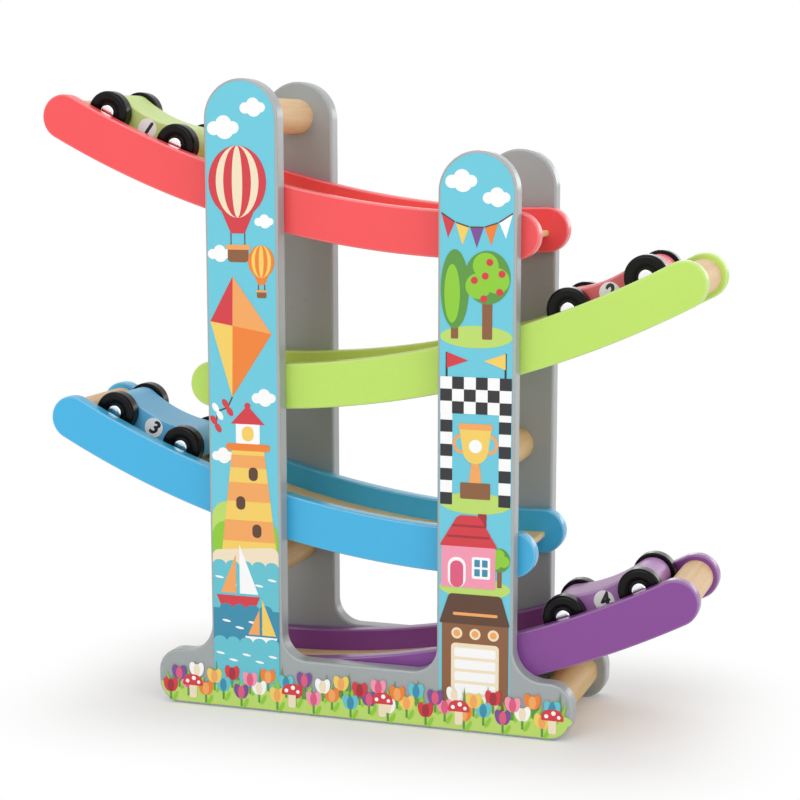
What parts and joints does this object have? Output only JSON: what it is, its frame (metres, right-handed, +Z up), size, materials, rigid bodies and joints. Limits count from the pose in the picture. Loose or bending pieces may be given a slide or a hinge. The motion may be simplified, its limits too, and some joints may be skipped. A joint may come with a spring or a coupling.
{
  "type": "wooden racing track",
  "caption": "Wooden zig-zag racing track: two upright panels hold curved ramps between them, and small flip cars roll down from ramp to ramp.",
  "frame": {"origin": "on the ground, under the middle of the ramps", "axes": "+X along the panels towards the shorter tower, +Y from the printed front panel to the back panel, +Z up"},
  "size_m": [0.317, 0.0794, 0.2953],
  "materials": {
    "front_panel_print": "satin print on painted board",
    "panel_grey": "satin grey paint on board",
    "natural_wood": "sanded natural wood, clear matt",
    "red_paint": "satin paint",
    "green_paint": "satin paint",
    "blue_paint": "satin paint",
    "purple_paint": "satin paint",
    "car_1_paint": "satin paint",
    "car_2_paint": "satin paint",
    "car_3_paint": "satin paint",
    "car_4_paint": "satin paint",
    "wheel_black": "gloss",
    "hub_metal": "polished"
  },
  "bodies": {
    "frame": {"front_panel": "front_panel_print", "back_panel": "panel_grey", "top_cross_dowel": "natural_wood", "left_cross_dowel": "natural_wood", "right_cross_dowel": "natural_wood", "foot_cross_dowel": "natural_wood", "red_ramp_front_wall": "red_paint", "red_ramp_back_wall": "red_paint", "red_ramp_floor": "natural_wood", "red_ramp_start_dowel": "natural_wood", "green_ramp_front_wall": "green_paint", "green_ramp_back_wall": "green_paint", "green_ramp_floor": "natural_wood", "green_ramp_start_dowel": "natural_wood", "blue_ramp_front_wall": "blue_paint", "blue_ramp_back_wall": "blue_paint", "blue_ramp_floor": "natural_wood", "blue_ramp_start_dowel": "natural_wood", "purple_ramp_front_wall": "purple_paint", "purple_ramp_back_wall": "purple_paint", "purple_ramp_floor": "natural_wood", "purple_ramp_start_dowel": "natural_wood"},
    "car_1": {"car_1_body": "car_1_paint"},
    "car_1_lead_wheels": {"car_1_lead_axle": "hub_metal", "car_1_lead_front_wheel": "wheel_black", "car_1_lead_back_wheel": "wheel_black"},
    "car_1_tail_wheels": {"car_1_tail_axle": "hub_metal", "car_1_tail_front_wheel": "wheel_black", "car_1_tail_back_wheel": "wheel_black"},
    "car_2": {"car_2_body": "car_2_paint"},
    "car_2_lead_wheels": {"car_2_lead_axle": "hub_metal", "car_2_lead_front_wheel": "wheel_black", "car_2_lead_back_wheel": "wheel_black"},
    "car_2_tail_wheels": {"car_2_tail_axle": "hub_metal", "car_2_tail_front_wheel": "wheel_black", "car_2_tail_back_wheel": "wheel_black"},
    "car_3": {"car_3_body": "car_3_paint"},
    "car_3_lead_wheels": {"car_3_lead_axle": "hub_metal", "car_3_lead_front_wheel": "wheel_black", "car_3_lead_back_wheel": "wheel_black"},
    "car_3_tail_wheels": {"car_3_tail_axle": "hub_metal", "car_3_tail_front_wheel": "wheel_black", "car_3_tail_back_wheel": "wheel_black"},
    "car_4": {"car_4_body": "car_4_paint"},
    "car_4_lead_wheels": {"car_4_lead_axle": "hub_metal", "car_4_lead_front_wheel": "wheel_black", "car_4_lead_back_wheel": "wheel_black"},
    "car_4_tail_wheels": {"car_4_tail_axle": "hub_metal", "car_4_tail_front_wheel": "wheel_black", "car_4_tail_back_wheel": "wheel_black"}
  },
  "joints": [
    {"name": "car_1_run", "type": "hinge", "parent": "frame", "child": "car_1", "pos_m": [0.06, 0, 0.66595], "axis": [0, -1, 0], "range_deg": [0, 22.5]},
    {"name": "car_1_lead_spin", "type": "hinge", "parent": "car_1", "child": "car_1_lead_wheels", "pos_m": [-0.09504, 0, 0.26519], "axis": [0, -1, 0], "continuous": true},
    {"name": "car_1_tail_spin", "type": "hinge", "parent": "car_1", "child": "car_1_tail_wheels", "pos_m": [-0.12984, 0, 0.28046], "axis": [0, -1, 0], "continuous": true},
    {"name": "car_2_run", "type": "hinge", "parent": "frame", "child": "car_2", "pos_m": [-0.06, 0, 0.5941], "axis": [0, 1, 0], "range_deg": [0, 22.5]},
    {"name": "car_2_lead_spin", "type": "hinge", "parent": "car_2", "child": "car_2_lead_wheels", "pos_m": [0.09504, 0, 0.19334], "axis": [0, 1, 0], "continuous": true},
    {"name": "car_2_tail_spin", "type": "hinge", "parent": "car_2", "child": "car_2_tail_wheels", "pos_m": [0.12984, 0, 0.20861], "axis": [0, 1, 0], "continuous": true},
    {"name": "car_3_run", "type": "hinge", "parent": "frame", "child": "car_3", "pos_m": [0.06, 0, 0.52225], "axis": [0, -1, 0], "range_deg": [0, 22.5]},
    {"name": "car_3_lead_spin", "type": "hinge", "parent": "car_3", "child": "car_3_lead_wheels", "pos_m": [-0.09504, 0, 0.12149], "axis": [0, -1, 0], "continuous": true},
    {"name": "car_3_tail_spin", "type": "hinge", "parent": "car_3", "child": "car_3_tail_wheels", "pos_m": [-0.12984, 0, 0.13676], "axis": [0, -1, 0], "continuous": true},
    {"name": "car_4_run", "type": "hinge", "parent": "frame", "child": "car_4", "pos_m": [-0.06, 0, 0.45345], "axis": [0, 1, 0], "range_deg": [0, 22.5]},
    {"name": "car_4_lead_spin", "type": "hinge", "parent": "car_4", "child": "car_4_lead_wheels", "pos_m": [0.09504, 0, 0.05269], "axis": [0, 1, 0], "continuous": true},
    {"name": "car_4_tail_spin", "type": "hinge", "parent": "car_4", "child": "car_4_tail_wheels", "pos_m": [0.12984, 0, 0.06796], "axis": [0, 1, 0], "continuous": true}
  ],
  "couplings": [
    {"joint": "car_1_lead_spin", "follows": "car_1_run", "ratio": -44},
    {"joint": "car_1_tail_spin", "follows": "car_1_run", "ratio": -44},
    {"joint": "car_2_lead_spin", "follows": "car_2_run", "ratio": -44},
    {"joint": "car_2_tail_spin", "follows": "car_2_run", "ratio": -44},
    {"joint": "car_3_lead_spin", "follows": "car_3_run", "ratio": -44},
    {"joint": "car_3_tail_spin", "follows": "car_3_run", "ratio": -44},
    {"joint": "car_4_lead_spin", "follows": "car_4_run", "ratio": -44},
    {"joint": "car_4_tail_spin", "follows": "car_4_run", "ratio": -44}
  ]
}
